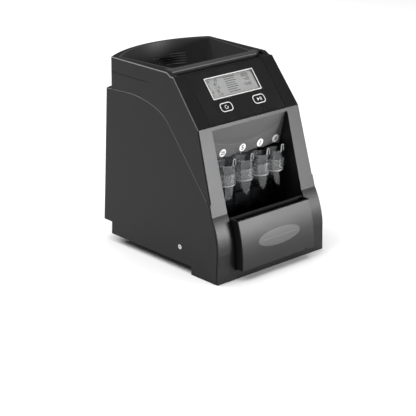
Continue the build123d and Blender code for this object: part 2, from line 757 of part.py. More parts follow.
def make_labels():
    """Four round coin labels on the sloping wall."""
    group = None
    dy = chin_foot[0] - chin_top[0]
    dz = chin_foot[1] - chin_top[1]
    length = (dy * dy + dz * dz) ** 0.5
    for x in label_places:
        z = 141.6
        plane = Plane(origin=(x, chin_y(z), z), x_dir=(1, 0, 0), z_dir=(0, dz / length, -dy / length))
        disc = extrude(plane * Circle(5.2), 0.35)
        group = disc if group is None else group + disc
    return group


if __name__ == "__main__":
    save(make_rear_housing(), "rear_housing")
    save(make_upper_housing(), "upper_housing")
    save(make_front_hood(), "front_hood")
    save(make_recess_back(), "recess_back")
    save(make_hopper(), "hopper_bowl")
    save(make_hopper_floor(), "hopper_floor")
    save(make_feed_disc(), "feed_disc")
    save(make_bush(), "shaft_bush")
    save(make_shaft(), "disc_shaft")
    save(make_transfer(), "transfer_plate")
    save(make_disc_gear(), "disc_gear")
    save(make_pinion(), "motor_pinion")
    save(make_motor_shaft(), "motor_shaft")
    save(make_gearbox(), "motor_gearbox")
    save(make_motor(), "motor_can")
    save(make_motor_bracket(), "motor_bracket")
    save(make_motor_screws(), "motor_screws")
    save(make_sort_rail(), "sort_rail")
    save(make_sensor_bar(), "sensor_bar")
    save(make_chutes(), "coin_chutes")
    save(make_rail_posts(), "rail_posts")
    save(make_base_plate(), "base_plate")
    save(make_drawer_guides(), "drawer_guides")
    save(make_feet(), "rubber_feet")
    save(make_side_screws(), "side_screws")
    save(make_control_board(), "control_board")
    save(make_board_chips(), "board_parts")
    save(make_board_screws(), "board_screws")
    save(make_inlet(), "power_inlet")
    save(make_switch_body(), "power_switch")
    save(make_rocker(), "power_rocker")
    save(make_panel_overlay(), "panel_overlay")
    save(make_screen_window(), "screen_window")
    save(make_screen_module(), "screen_module")
    save(make_display_board(), "display_board")
    save(make_switches(), "button_switches")
    save(make_board_spacers(), "board_spacers")
    save(make_button(-27), "button_left")
    save(make_button(27), "button_right")
    badge = badge_slab(0, 0.0, 0.8)
    save(make_drawer_front() - badge_slab(0.25, -1.0, 0.85), "drawer_front")
    save(badge, "drawer_badge")
    save(make_tube_tray(), "tube_tray")
    for tube_name, tube_x, tube_radius in tubes:
        save(make_tube(tube_x, tube_radius), f"tube_{tube_name}")
    save(make_labels(), "coin_labels")
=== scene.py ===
import math
import bpy
import numpy as np
from mathutils import Matrix, Vector


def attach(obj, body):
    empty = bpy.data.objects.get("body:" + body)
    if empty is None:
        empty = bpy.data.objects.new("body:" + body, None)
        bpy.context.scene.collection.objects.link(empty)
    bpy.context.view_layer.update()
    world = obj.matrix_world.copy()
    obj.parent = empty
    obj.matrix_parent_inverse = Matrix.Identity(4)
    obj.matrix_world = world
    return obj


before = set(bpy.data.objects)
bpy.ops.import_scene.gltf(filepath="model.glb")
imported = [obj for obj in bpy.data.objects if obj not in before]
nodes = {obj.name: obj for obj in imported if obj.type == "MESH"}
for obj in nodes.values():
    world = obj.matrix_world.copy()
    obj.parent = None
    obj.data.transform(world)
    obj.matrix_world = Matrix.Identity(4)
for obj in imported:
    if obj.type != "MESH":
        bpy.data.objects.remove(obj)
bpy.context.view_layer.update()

mm = 0.001
print("stage: frame loaded,", len(nodes), "nodes")


view = {
    "spot": (-1.1753, -1.2819, 0.6801),
    "aim": (0.0, 0.008357, 0.045374),
    "lens": 126.8,
}


def lookAt(spot, aim):
    # turn so that local -Z points from spot to aim and local Y stays up
    return (Vector(aim) - Vector(spot)).to_track_quat("-Z", "Y").to_matrix().to_4x4()


def placeCamera():
    lens = bpy.data.cameras.new("lookCamera")
    lens.lens = view["lens"]
    lens.sensor_width = 36.0
    lens.clip_start = 0.01
    camera = bpy.data.objects.new("lookCamera", lens)
    camera.matrix_world = Matrix.Translation(view["spot"]) @ lookAt(view["spot"], view["aim"])
    bpy.context.scene.collection.objects.link(camera)
    bpy.context.scene.camera = camera


studio = {
    "toneCurve": "Standard",
    "sky": (1.0, 1.0, 1.0),
    "skyPower": 0.12,
    "floorTone": (0.94, 0.94, 0.94),
    "panels": {
        # name: spot, aim, width, height, power
        "frontRight": ((0.93, -1.44, 0.33), (0.0, -0.09, 0.12), 0.60, 0.50, 31.0),
        "ceiling": ((0.0, 0.3, 3.4), (0.0, 0.3, 0.0), 3.6, 3.6, 128.0),
        "backHigh": ((-0.85, 1.9, 1.85), (0.0, 0.0, 0.15), 1.2, 0.9, 34.0),
        "leftHigh": ((-1.75, -0.10, 2.05), (0.0, 0.0, 0.12), 0.7, 0.7, 16.0),
    },
}


def placeLights():
    for name, (spot, aim, wide, tall, power) in studio["panels"].items():
        light = bpy.data.lights.new(name, "AREA")
        light.shape = "RECTANGLE"
        light.size = wide
        light.size_y = tall
        light.energy = power
        lamp = bpy.data.objects.new(name, light)
        lamp.matrix_world = Matrix.Translation(spot) @ lookAt(spot, aim)
        bpy.context.scene.collection.objects.link(lamp)
    world = bpy.data.worlds.new("paleSky")
    world.use_nodes = True
    sky = world.node_tree.nodes["Background"]
    sky.inputs["Color"].default_value = (*studio["sky"], 1.0)
    sky.inputs["Strength"].default_value = studio["skyPower"]
    bpy.context.scene.world = world
    bpy.context.scene.view_settings.view_transform = studio["toneCurve"]


class Wire:
    # one output socket; arithmetic on it adds Math nodes
    def __init__(self, finish, socket):
        self.finish = finish
        self.socket = socket

    def mathNode(self, operation, first, second=0.0):
        return self.finish.node("ShaderNodeMath", {"operation": operation}, {0: first, 1: second})

    def __add__(self, other):
        return self.mathNode("ADD", self, other)

    __radd__ = __add__

    def __mul__(self, other):
        return self.mathNode("MULTIPLY", self, other)

    __rmul__ = __mul__

    def __sub__(self, other):
        return self.mathNode("SUBTRACT", self, other)

    def __rsub__(self, other):
        return self.mathNode("SUBTRACT", other, self)

    def __truediv__(self, other):
        return self.mathNode("DIVIDE", self, other)

    def __pow__(self, other):
        return self.mathNode("POWER", self, other)

    def __gt__(self, other):
        return self.mathNode("GREATER_THAN", self, other)

    def __lt__(self, other):
        return self.mathNode("LESS_THAN", self, other)

    def least(self, other):
        return self.mathNode("MINIMUM", self, other)

    def most(self, other):
        return self.mathNode("MAXIMUM", self, other)

    def sine(self):
        return self.mathNode("SINE", self)

    def size(self):
        return self.mathNode("ABSOLUTE", self)


class Finish:
    # one material and the nodes that make it
    def __init__(self, name):
        self.material = bpy.data.materials.new(name)
        self.material.use_nodes = True
        self.tree = self.material.node_tree
        self.tree.nodes.clear()

    def node(self, kind, settings=None, sockets=None, output=0):
        made = self.tree.nodes.new(kind)
        for key, value in (settings or {}).items():
            setattr(made, key, value)
        for key, value in (sockets or {}).items():
            if isinstance(value, Wire):
                self.tree.links.new(value.socket, made.inputs[key])
            else:
                made.inputs[key].default_value = value
        return Wire(self, made.outputs[output])

    def place(self):
        return self.node("ShaderNodeTexCoord", output="Object")

    def parts(self, vector):
        split = self.node("ShaderNodeSeparateXYZ", sockets={0: vector})
        return [Wire(self, split.socket.node.outputs[axis]) for axis in range(3)]

    def axes(self):
        return self.parts(self.place())

    def normals(self):
        return self.parts(self.node("ShaderNodeTexCoord", output="Normal"))

    def noise(self, scale, detail=2.0, stretch=None):
        where = self.place()
        if stretch:
            where = self.node("ShaderNodeMapping", {}, {"Vector": where, "Scale": stretch})
        sockets = {"Vector": where, "Scale": scale, "Detail": detail}
        return self.node("ShaderNodeTexNoise", {}, sockets, "Fac")

    def blendTone(self, factor, first, second):
        sockets = {0: factor}
        for slot, tone in ((6, first), (7, second)):
            sockets[slot] = tone if isinstance(tone, Wire) else (*tone, 1.0)
        return self.node("ShaderNodeMix", {"data_type": "RGBA"}, sockets, 2)

    def bump(self, height, strength, distance):
        sockets = {"Height": height, "Strength": strength, "Distance": distance}
        return self.node("ShaderNodeBump", {}, sockets)

    def surface(self, **sockets):
        shader = self.node("ShaderNodeBsdfPrincipled", {}, sockets)
        return self.show(shader)

    def show(self, shader):
        out = self.tree.nodes.new("ShaderNodeOutputMaterial")
        self.tree.links.new(shader.socket, out.inputs["Surface"])
        return self.material


def shade(tone, factor):
    return tuple(min(1.0, part * factor) for part in tone)


mould = {
    # painted edge highlight: where the lean starts, how fast it rises, least share, share that follows the
    # drift
    "edgeStart": 0.16, "edgeRise": 8.0, "edgeShare": 0.55, "edgeDrift": 0.6,
    "driftRough": 0.06, "reliefDepth": 0.00006, "ior": 1.46,
}


def mouldedPlastic(name, look):
    # fine spark-eroded grain, slow drift in tone, and a painted highlight that turns upward-facing rounded
    # edges paler
    finish = Finish(name)
    grain = finish.noise(look["grain"], 3.0)
    drift = finish.noise(look["drift"], 2.0)
    darker = shade(look["tone"], 1 - look["spread"])
    paler = shade(look["tone"], 1 + look["spread"])
    tone = finish.blendTone(drift, darker, paler)
    if "edgeHighlightTone" in look:
        # painted highlight: rounded upper edges, where the normal leans both sideways and up, take a paler
        # tone as if lit from above
        nx, ny, nz = finish.normals()
        edgeHighlight = ((nx.size() * nz.most(0.0) - mould["edgeStart"]) * mould["edgeRise"]).most(0.0).least(1.0)
        highlightShare = (mould["edgeShare"] + drift * mould["edgeDrift"]).least(1.0)
        tone = finish.blendTone(edgeHighlight * highlightShare, tone, look["edgeHighlightTone"])
    rough = look["rough"] + (grain - 0.5) * look["roughSpread"] + (drift - 0.5) * mould["driftRough"]
    relief = finish.bump(grain, look["relief"], mould["reliefDepth"])
    return finish.surface(**{"Base Color": tone, "Roughness": rough, "Normal": relief,
                             "IOR": look.get("ior", mould["ior"])})


plastics = {
    # shellBlack's edge tone is the colour of the painted highlight on its rounded upper edges
    "shellBlack": {"tone": (0.0075, 0.0075, 0.0077), "spread": 0.12, "grain": 2600.0, "drift": 14.0,
                   "rough": 0.34, "roughSpread": 0.14, "relief": 0.25, "ior": 1.30,
                   "edgeHighlightTone": (0.16, 0.16, 0.16)},
    "hopperBlack": {"tone": (0.040, 0.040, 0.0405), "spread": 0.14, "grain": 2200.0, "drift": 20.0,
                    "rough": 0.38, "roughSpread": 0.14, "relief": 0.22, "ior": 1.32},
    "drawerBlack": {"tone": (0.010, 0.010, 0.0102), "spread": 0.12, "grain": 2400.0, "drift": 18.0,
                    "rough": 0.36, "roughSpread": 0.12, "relief": 0.20, "ior": 1.32},
    "deepBlack": {"tone": (0.0030, 0.0030, 0.0030), "spread": 0.2, "grain": 1800.0, "drift": 25.0,
                  "rough": 0.50, "roughSpread": 0.15, "relief": 0.25, "ior": 1.38},
    "keyBlack": {"tone": (0.0045, 0.0045, 0.0045), "spread": 0.15, "grain": 3000.0, "drift": 60.0,
                 "rough": 0.38, "roughSpread": 0.10, "relief": 0.15, "ior": 1.4},
    "discGrey": {"tone": (0.18, 0.18, 0.19), "spread": 0.10, "grain": 1500.0, "drift": 40.0,
                 "rough": 0.35, "roughSpread": 0.2, "relief": 0.2},
    "gearWhite": {"tone": (0.62, 0.61, 0.57), "spread": 0.05, "grain": 1500.0, "drift": 60.0,
                  "rough": 0.35, "roughSpread": 0.12, "relief": 0.1},
    "chipBlack": {"tone": (0.02, 0.02, 0.022), "spread": 0.12, "grain": 2600.0, "drift": 90.0,
                  "rough": 0.5, "roughSpread": 0.15, "relief": 0.2},
    "printWhite": {"tone": (0.56, 0.56, 0.555), "spread": 0.03, "grain": 3000.0, "drift": 80.0,
                   "rough": 0.5, "roughSpread": 0.1, "relief": 0.05},
    "paperWhite": {"tone": (0.80, 0.80, 0.79), "spread": 0.03, "grain": 3000.0, "drift": 80.0,
                   "rough": 0.5, "roughSpread": 0.1, "relief": 0.05},
    "printDark": {"tone": (0.03, 0.03, 0.03), "spread": 0.05, "grain": 3000.0, "drift": 80.0,
                  "rough": 0.5, "roughSpread": 0.1, "relief": 0.05},
    "printPale": {"tone": (0.10, 0.10, 0.10), "spread": 0.05, "grain": 3000.0, "drift": 80.0,
                  "rough": 0.5, "roughSpread": 0.1, "relief": 0.05},
    "printFaint": {"tone": (0.20, 0.20, 0.20), "spread": 0.1, "grain": 3000.0, "drift": 80.0,
                   "rough": 0.5, "roughSpread": 0.1, "relief": 0.05},
}


hoodLook = {
    # curved line across the wall, in metres: height at its ends, sag, middle and half width,
    # then its sharpness
    "lineHeight": 0.1595, "lineSag": 0.0105, "lineMiddle": -0.004, "lineHalf": 0.05, "lineSharp": 900.0,
    "upperTone": (0.058, 0.058, 0.059), "lowerTone": (0.078, 0.078, 0.079),
    "driftTone": (0.045, 0.045, 0.045),
    "driftShare": 0.25, "grain": 2400.0, "drift": 16.0, "grainRelief": 0.04, "relief": 0.35,
    "reliefDepth": 0.0003, "rough": 0.40, "roughSpread": 0.12,
}


def hoodPlastic(look):
    # satin grey wall, a touch paler below a parabola that is lowest at its middle
    finish = Finish("hoodGrey")
    x, y, z = finish.axes()
    across = (x - look["lineMiddle"]) / look["lineHalf"]
    line = look["lineHeight"] - look["lineSag"] * (1 - across ** 2)
    below = ((line - z) * look["lineSharp"] + 0.5).most(0.0).least(1.0)
    grain = finish.noise(look["grain"], 3.0)
    drift = finish.noise(look["drift"], 2.0)
    tone = finish.blendTone(below, look["upperTone"], look["lowerTone"])
    tone = finish.blendTone(drift * look["driftShare"], tone, look["driftTone"])
    relief = finish.bump(below + grain * look["grainRelief"], look["relief"], look["reliefDepth"])
    rough = look["rough"] + (grain - 0.5) * look["roughSpread"]
    return finish.surface(**{"Base Color": tone, "Roughness": rough, "Normal": relief})


overlayLook = {
    "smear": 60.0, "smearStretch": (1.0, 0.35, 0.35), "fine": 1800.0,
    "lowTone": (0.0050, 0.0050, 0.0052), "highTone": (0.0085, 0.0085, 0.0087),
    "rough": 0.22, "smearRough": 0.12, "fineRough": 0.03, "relief": 0.05, "reliefDepth": 0.00003,
}


def overlayGloss(look):
    # glossy printed sheet with faint handling marks
    finish = Finish("overlayGloss")
    smear = finish.noise(look["smear"], 4.0, look["smearStretch"])
    fine = finish.noise(look["fine"], 2.0)
    tone = finish.blendTone(smear, look["lowTone"], look["highTone"])
    rough = look["rough"] + smear * look["smearRough"] + fine * look["fineRough"]
    relief = finish.bump(fine, look["relief"], look["reliefDepth"])
    return finish.surface(**{"Base Color": tone, "Roughness": rough, "Normal": relief})


metals = {
    # finish: material name, tone, roughness, stretch of the streaks, streak scale
    "steel": ("steelBright", (0.62, 0.62, 0.63), 0.28, (1.0, 1.0, 0.05), 900.0),
    "brass": ("bushBrass", (0.60, 0.44, 0.18), 0.3, (1.0, 1.0, 0.08), 700.0),
    "castZinc": ("castZinc", (0.45, 0.45, 0.46), 0.5, (1.0, 1.0, 1.0), 500.0),
    "sheetMetal": ("sheetMetal", (0.48, 0.48, 0.49), 0.36, (0.06, 1.0, 1.0), 700.0),
}
metalGrain = {"spots": 180.0, "dark": 0.82, "pale": 1.08, "streakRough": 0.2, "spotRough": 0.1,
              "relief": 0.12, "reliefDepth": 0.00003}


def metal(name, tone, rough, stretch, scale):
    # turned or rolled metal: noise pulled out along one direction
    finish = Finish(name)
    streak = finish.noise(scale, 3.0, stretch)
    spots = finish.noise(metalGrain["spots"], 2.0)
    colour = finish.blendTone(streak, shade(tone, metalGrain["dark"]), shade(tone, metalGrain["pale"]))
    rough = rough + (streak - 0.5) * metalGrain["streakRough"] + (spots - 0.5) * metalGrain["spotRough"]
    relief = finish.bump(streak, metalGrain["relief"], metalGrain["reliefDepth"])
    return finish.surface(**{"Base Color": colour, "Metallic": 1.0, "Roughness": rough, "Normal": relief})


rubberLook = {"grain": 1400.0, "lowTone": (0.016, 0.016, 0.016), "highTone": (0.03, 0.03, 0.03),
              "rough": 0.75, "roughSpread": 0.2, "relief": 0.4, "reliefDepth": 0.0001}


def rubberFeet(look):
    # coarse matt grain
    finish = Finish("footRubber")
    grain = finish.noise(look["grain"], 3.0)
    tone = finish.blendTone(grain, look["lowTone"], look["highTone"])
    relief = finish.bump(grain, look["relief"], look["reliefDepth"])
    rough = look["rough"] + (grain - 0.5) * look["roughSpread"]
    return finish.surface(**{"Base Color": tone, "Roughness": rough, "Normal": relief})


boardLook = {
    # tracks: waves per metre in x and y (radians) and the level above which a track shows
    "waveX": 1400.0, "levelX": 0.55, "waveY": 1100.0, "levelY": 0.72, "patch": 90.0,
    "maskTone": (0.008, 0.055, 0.022), "trackTone": (0.018, 0.12, 0.05),
    "rough": 0.34, "patchRough": 0.06, "relief": 0.3, "reliefDepth": 0.00005,
}


def boardGreen(look):
    # solder mask over a square weave of tracks: crests of sine waves in x and y, kept in patches
    finish = Finish("boardGreen")
    x, y, z = finish.axes()
    track = ((x * look["waveX"]).sine() > look["levelX"]).most((y * look["waveY"]).sine() > look["levelY"])
    patch = finish.noise(look["patch"], 1.0) > 0.5
    mask = track * patch
    tone = finish.blendTone(mask, look["maskTone"], look["trackTone"])
    relief = finish.bump(mask, look["relief"], look["reliefDepth"])
    rough = look["rough"] + patch * look["patchRough"]
    return finish.surface(**{"Base Color": tone, "Roughness": rough, "Normal": relief})


screenLook = {
    "waveX": 9000.0, "waveZ": 11000.0, "cellShare": 0.12, "drift": 30.0,
    "lowTone": (0.25, 0.255, 0.25), "highTone": (0.33, 0.335, 0.33), "cellTone": (0.2, 0.2, 0.2),
    "rough": 0.45, "driftRough": 0.1, "paintedGlow": 0.25,
}


def screenGrey(look):
    # passive display: grey ground with a slow drift and a faint grid, the product of two sine waves; the
    # grey is also emitted as a painted glow, though the screen has no lamp
    finish = Finish("screenGrey")
    x, y, z = finish.axes()
    cells = ((x * look["waveX"]).sine() * (z * look["waveZ"]).sine()) * 0.5 + 0.5
    drift = finish.noise(look["drift"], 2.0)
    tone = finish.blendTone(drift, look["lowTone"], look["highTone"])
    tone = finish.blendTone(cells * look["cellShare"], tone, look["cellTone"])
    return finish.surface(**{"Base Color": tone, "Roughness": look["rough"] + drift * look["driftRough"],
                             # painted glow: the screen's grey colour is fed to emission
                             "Emission Color": tone, "Emission Strength": look["paintedGlow"]})


clearGrain = {
    # noise scales, then how far each pale band, frosting with painted highlight, reaches the far half, and
    # how it follows the flow
    "flow": 26.0, "flowStretch": (1.0, 1.0, 0.25), "scuff": 420.0, "relief": 0.02, "reliefDepth": 0.0002,
    "milkDark": 0.85, "milkRough": 0.25, "milkScuff": 0.1, "nearShare": 0.85, "farShare": 0.15,
    "flowBase": 0.55, "flowShare": 0.9,
}


def clearPlastic(name, look):
    # thin clear moulding: see-through, mirror rising with the fourth power of the facing angle,
    # and pale bands at the foot, steps, collar, rim and loops, partly frosting of the thick wall and partly
    # painted highlight
    finish = Finish(name)
    x, y, z = finish.axes()
    flow = finish.noise(clearGrain["flow"], 3.0, clearGrain["flowStretch"])
    scuff = finish.noise(clearGrain["scuff"], 3.0)
    edge = finish.node("ShaderNodeLayerWeight", {}, {"Blend": 0.5}, "Facing")
    mirror = finish.node("ShaderNodeBsdfPrincipled", {}, {
        "Base Color": (*look["sheen"], 1.0), "Metallic": 1.0,
        "Roughness": look["rough"] + scuff * look["scuff"],
        "Normal": finish.bump(flow, clearGrain["relief"], clearGrain["reliefDepth"])})
    through = finish.node("ShaderNodeBsdfTransparent", {}, {"Color": (*look["tone"], 1.0)})
    glint = look["glint"] + edge ** 4.0 * look["rim"]
    clear = finish.node("ShaderNodeMixShader", {}, {0: glint, 1: through, 2: mirror})
    if not look["bands"]:
        return finish.show(clear)
    milkAndHighlightTone = finish.blendTone(scuff, shade(look["milkAndHighlight"], clearGrain["milkDark"]), look["milkAndHighlight"])
    milkAndHighlight = finish.node("ShaderNodeBsdfPrincipled", {}, {
        "Base Color": milkAndHighlightTone, "Roughness": clearGrain["milkRough"] + scuff * clearGrain["milkScuff"]})
    frostAndHighlight = 0.0
    for low, high, strength in look["bands"]:
        inside = (z > low * mm) * (z < high * mm)
        frostAndHighlight = inside * strength + frostAndHighlight
    # painted highlight: the near half of each tube gets more of the pale bands than the far half
    nearHighlightShare = (y < look["middle"] * mm) * clearGrain["nearShare"] + clearGrain["farShare"]
    frostAndHighlight = frostAndHighlight * (clearGrain["flowBase"] + flow * clearGrain["flowShare"]) * nearHighlightShare
    return finish.show(finish.node("ShaderNodeMixShader", {}, {0: frostAndHighlight.least(1.0), 1: clear, 2: milkAndHighlight}))


tubeLook = {
    "tone": (0.90, 0.91, 0.92), "sheen": (0.9, 0.9, 0.9),
    "rough": 0.06, "scuff": 0.08, "glint": 0.045, "rim": 0.42,
    "milkAndHighlight": (0.70, 0.70, 0.70), "middle": -62.0,
    # heights in mm with the share of pale look, frosting with painted highlight: foot, lower step, collar,
    # upper step, rim, loop
    "bands": [(19.0, 21.4, 0.30), (104.5, 105.5, 0.80), (105.5, 118.4, 0.075), (118.4, 119.3, 0.30),
              (130.2, 130.9, 0.22), (130.9, 142.0, 0.34)],
}
windowLook = {"tone": (0.96, 0.96, 0.96), "sheen": (0.9, 0.9, 0.9),
              "rough": 0.05, "scuff": 0.05, "glint": 0.04, "rim": 0.4, "bands": []}

badgeLook = {"speckle": 1500.0, "drift": 22.0, "lowTone": (0.020, 0.020, 0.0205),
             "highTone": (0.030, 0.030, 0.0305), "rough": 0.42, "driftRough": 0.08,
             "relief": 0.2, "reliefDepth": 0.00005}


def drawerBadge(look):
    # plain oval plate, paler than the drawer, with a fine speckle
    finish = Finish("badgeGrey")
    speckle = finish.noise(look["speckle"], 2.0)
    drift = finish.noise(look["drift"], 2.0)
    tone = finish.blendTone(speckle, look["lowTone"], look["highTone"])
    relief = finish.bump(speckle, look["relief"], look["reliefDepth"])
    rough = look["rough"] + drift * look["driftRough"]
    return finish.surface(**{"Base Color": tone, "Roughness": rough, "Normal": relief})


finishes = {name: mouldedPlastic(name, look) for name, look in plastics.items()}
finishes["hoodGrey"] = hoodPlastic(hoodLook)
finishes["overlayGloss"] = overlayGloss(overlayLook)
finishes.update({name: metal(*values) for name, values in metals.items()})
finishes["footRubber"] = rubberFeet(rubberLook)
finishes["boardGreen"] = boardGreen(boardLook)
finishes["screenGrey"] = screenGrey(screenLook)
finishes["tubeClear"] = clearPlastic("tubeClear", tubeLook)
finishes["windowClear"] = clearPlastic("windowClear", windowLook)
finishes["badgeGrey"] = drawerBadge(badgeLook)
print("stage: materials made,", len(finishes))

wears = {
    "shellBlack": ["rear_housing", "upper_housing"],
    "hoodGrey": ["front_hood"],
    "hopperBlack": ["hopper_bowl"],
    "drawerBlack": ["drawer_front"],
    "badgeGrey": ["drawer_badge"],
    "deepBlack": ["recess_back", "hopper_floor", "sensor_bar", "base_plate", "drawer_guides",
                  "power_switch", "tube_tray"],
    "discGrey": ["feed_disc"],
    "gearWhite": ["disc_gear", "motor_pinion"],
    "brass": ["shaft_bush"],
    "steel": ["disc_shaft", "motor_shaft", "motor_can", "motor_screws", "side_screws", "board_screws",
              "board_spacers"],
    "castZinc": ["motor_gearbox"],
    "sheetMetal": ["motor_bracket", "sort_rail", "transfer_plate", "coin_chutes", "rail_posts"],
    "footRubber": ["rubber_feet"],
    "boardGreen": ["control_board", "display_board"],
    "chipBlack": ["board_parts", "power_inlet", "button_switches"],
    "overlayGloss": ["panel_overlay"],
    "windowClear": ["screen_window"],
    "screenGrey": ["screen_module"],
    "keyBlack": ["button_left", "button_right", "power_rocker"],
    "tubeClear": ["tube_quarter", "tube_nickel", "tube_penny", "tube_dime"],
    "paperWhite": ["coin_labels"],
}


def dress(piece, finishName):
    # the finish goes on the object's own slots, so the shared mesh stays as it is
    if not piece.material_slots:
        piece.data.materials.append(None)
    for slot in piece.material_slots:
        slot.link = "OBJECT"
        slot.material = finishes[finishName]


for finishName, names in wears.items():
    for name in names:
        dress(nodes[name], finishName)


def newPiece(name, points, faces, body, finishName):
    # mesh from points in metres, dressed and carried by one body
    mesh = bpy.data.meshes.new(name)
    mesh.from_pydata(np.asarray(points, float).reshape(-1, 3).tolist(), [], faces)
    mesh.validate()
    piece = bpy.data.objects.new(name, mesh)
    bpy.context.scene.collection.objects.link(piece)
    piece.data.materials.append(finishes[finishName])
    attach(piece, body)
    return piece


def gridFaces(rows, columns):
    # quads of a rows x columns grid of points that closes on itself both ways
    row, column = np.meshgrid(np.arange(rows), np.arange(columns), indexing="ij")
    nextRow = (row + 1) % rows
    nextColumn = (column + 1) % columns
    quads = np.stack([row * columns + column, nextRow * columns + column,
                      nextRow * columns + nextColumn, row * columns + nextColumn], -1)
    return quads.reshape(-1, 4).tolist()


# lower and upper edge of the sloping panel, in mm
panel = {"lowY": -66.2, "lowZ": 181.1, "highY": -20.7, "highZ": 236.2}


def onPanel(x, along, lift):
    # lower edge plus along times the slope's unit vector plus lift times its unit normal (all mm)
    run = panel["highY"] - panel["lowY"]
    rise = panel["highZ"] - panel["lowZ"]
    length = math.hypot(run, rise)
    y = panel["lowY"] + run / length * along - rise / length * lift
    z = panel["lowZ"] + rise / length * along + run / length * lift
    return np.stack(np.broadcast_arrays(x, y, z), -1) * mm


def roundedLoop(halfWide, halfTall, radius, perCorner=8):
    # four quarter circles joined by straight runs, counter-clockwise
    turn = np.linspace(0, math.pi / 2, perCorner)
    angle = np.concatenate([turn + quarter * math.pi / 2 for quarter in range(4)])
    signX = np.repeat([1, -1, -1, 1], perCorner)
    signY = np.repeat([1, 1, -1, -1], perCorner)
    x = signX * (halfWide - radius) + radius * np.cos(angle)
    y = signY * (halfTall - radius) + radius * np.sin(angle)
    return np.stack([x, y], -1)


def flatRing(name, outer, inner, low, high, carry, body, finishName, slotName):
    # closed band: a four-point section carried round two loops that match point for point
    section = [(outer, high), (inner, high), (inner, low), (outer, low)]
    points = np.stack([carry(loop[:, 0], loop[:, 1], lift) for loop, lift in section], 1)
    return newPiece(name, points, gridFaces(len(outer), len(section)), body, finishName)


def flatPlates(name, loops, low, high, carry, body, finishName, slotName):
    # thin plates: each outline, counter-clockwise, at the high lift, again at the low lift, and its sides
    points = []
    faces = []
    for loop in loops:
        loop = np.asarray(loop, float)
        start = sum(len(group) for group in points)
        count = len(loop)
        points.append(carry(loop[:, 0], loop[:, 1], high))
        points.append(carry(loop[:, 0], loop[:, 1], low))
        faces.append([start + index for index in range(count)])
        faces.append([start + count + index for index in reversed(range(count))])
        faces += [[start + index, start + count + index, start + count + (index + 1) % count,
                   start + (index + 1) % count] for index in range(count)]
    return newPiece(name, np.concatenate(points), faces, body, finishName)


# printed border of the display, in mm on the panel
display = {"halfWide": 40.0, "low": 32.0, "high": 61.0, "line": 1.3, "outerRadius": 0.8, "innerRadius": 0.3,
           "perCorner": 5, "lowLift": -0.16, "highLift": -0.02}


def placeDisplay():
    # border between two rounded rectangles that are one line width apart
    halfTall = (display["high"] - display["low"]) / 2
    middle = (0, (display["high"] + display["low"]) / 2)
    line = display["line"]
    outer = roundedLoop(display["halfWide"], halfTall, display["outerRadius"],
                        display["perCorner"]) + middle
    inner = roundedLoop(display["halfWide"] - line, halfTall - line, display["innerRadius"],
                        display["perCorner"]) + middle
    flatRing("screenBorder", outer, inner, display["lowLift"], display["highLift"], onPanel, "housing",
             "printWhite", "label")


segmentPlan = {
    # which of the seven bars make each digit: top, upper right, lower right, bottom, lower left,
    # upper left, middle
    "0": "1111110", "1": "0110000", "2": "1101101", "3": "1111001", "4": "0110011",
    "5": "1011011", "6": "1011111", "7": "1110000", "8": "1111111", "9": "1111011",
}
# shares of the digit's height, then its pitch in widths, the bar's end gap in thicknesses, and the slant
digitShape = {"wide": 0.52, "thick": 0.15, "pitch": 1.6, "endGap": 0.35, "slant": 0.08}


def digitBars(text, x, along, tall):
    # hexagonal bars round two stacked squares, laid out left to right from x and sheared by the slant
    wide = tall * digitShape["wide"]
    thick = tall * digitShape["thick"]
    half = tall / 2
    bars = []
    places = [(0, half, 1), (wide / 2, half / 2, 0), (wide / 2, -half / 2, 0), (0, -half, 1),
              (-wide / 2, -half / 2, 0), (-wide / 2, half / 2, 0), (0, 0, 1)]
    for index, letter in enumerate(text):
        centre = x + index * wide * digitShape["pitch"]
        for use, (cx, cy, flat) in zip(segmentPlan[letter], places):
            if use == "0":
                continue
            reach = (wide if flat else half) / 2 - thick * digitShape["endGap"]
            t = thick / 2
            shape = np.array([(reach, 0), (reach - t, t), (-reach + t, t), (-reach, 0), (-reach + t, -t),
                              (reach - t, -t)])
            if not flat:
                shape = shape[:, ::-1] * (-1, 1)
            shape = shape + (cx, cy)
            sheared = shape[:, 0] + shape[:, 1] * digitShape["slant"]
            bars.append(np.stack([sheared + centre, shape[:, 1] + along], -1))
    return bars


readout = {
    # text, x of the first digit, height along the slope, digit height
    "rows": [("25", -35.5, 56.2, 3.0), ("5", -35.5, 51.6, 3.0), ("1", -35.5, 47.0, 3.0),
             ("10", -35.5, 42.4, 3.0), ("0", -35.5, 37.8, 3.0),
             ("120", -26.0, 56.2, 3.0), ("84", -26.0, 51.6, 3.0), ("210", -26.0, 47.0, 3.0),
             ("96", -26.0, 42.4, 3.0), ("510", -26.0, 37.8, 3.0),
             ("3000", 20.0, 55.4, 3.6), ("420", 22.9, 50.0, 3.6), ("4590", 20.0, 43.0, 3.6)],
    # left end, right end, height along the slope, thickness
    "bars": [(-9.0, 9.0, 57.6, 0.7), (-9.0, 7.0, 55.0, 0.7), (-9.0, 9.0, 52.2, 0.7), (-9.0, 6.0, 49.4, 0.7),
             (-9.0, 8.0, 46.6, 0.7), (-9.0, 9.0, 43.8, 0.7), (-9.0, 5.0, 41.0, 0.7),
             (-9.0, 9.0, 38.0, 0.7)],
    "lowLift": -2.0, "highLift": -1.9,
}


def placeReadout():
    # digits at both sides and plain bars for the lines of writing between them
    shapes = []
    for text, x, along, tall in readout["rows"]:
        shapes += digitBars(text, x, along, tall)
    for left, right, along, thick in readout["bars"]:
        low = along - thick / 2
        high = along + thick / 2
        shapes.append([(left, low), (right, low), (right, high), (left, high)])
    flatPlates("screenDigits", shapes, readout["lowLift"], readout["highLift"], onPanel, "housing",
               "printDark", "screen")


